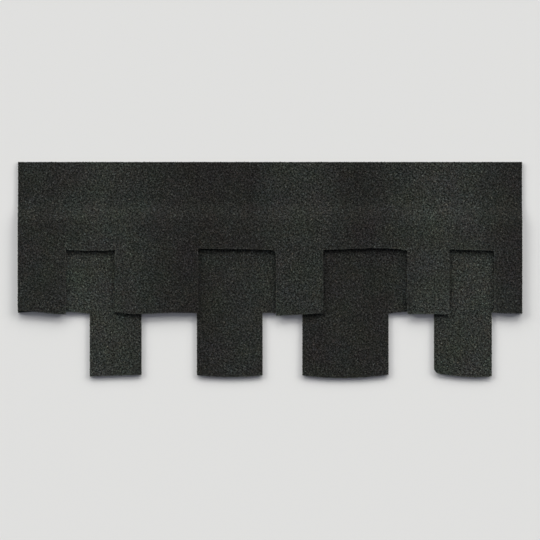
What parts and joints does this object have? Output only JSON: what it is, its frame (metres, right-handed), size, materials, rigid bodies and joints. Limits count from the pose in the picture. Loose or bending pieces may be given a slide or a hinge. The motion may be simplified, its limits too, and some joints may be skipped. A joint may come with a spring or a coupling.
{
  "type": "laminated asphalt shingle",
  "caption": "Heavy roof shingle of two granule-coated asphalt sheets, die-cut into staggered wavy tabs, with a headlap that bends down behind them.",
  "frame": {"origin": "under the middle of the shingle, on the surface it rests on", "axes": "+X along its length, +Y from the tabs up to the headlap, +Z out of the weather face"},
  "size_m": [1.016, 0.4356, 0.0068],
  "materials": {
    "top_granules": "matte",
    "bottom_granules": "matte",
    "sealant": "gloss",
    "release_film": "satin"
  },
  "bodies": {
    "root": {"top_ply": "top_granules", "bottom_ply": "bottom_granules", "seal_dashes": "sealant", "release_tape": "release_film"}
  },
  "joints": []
}
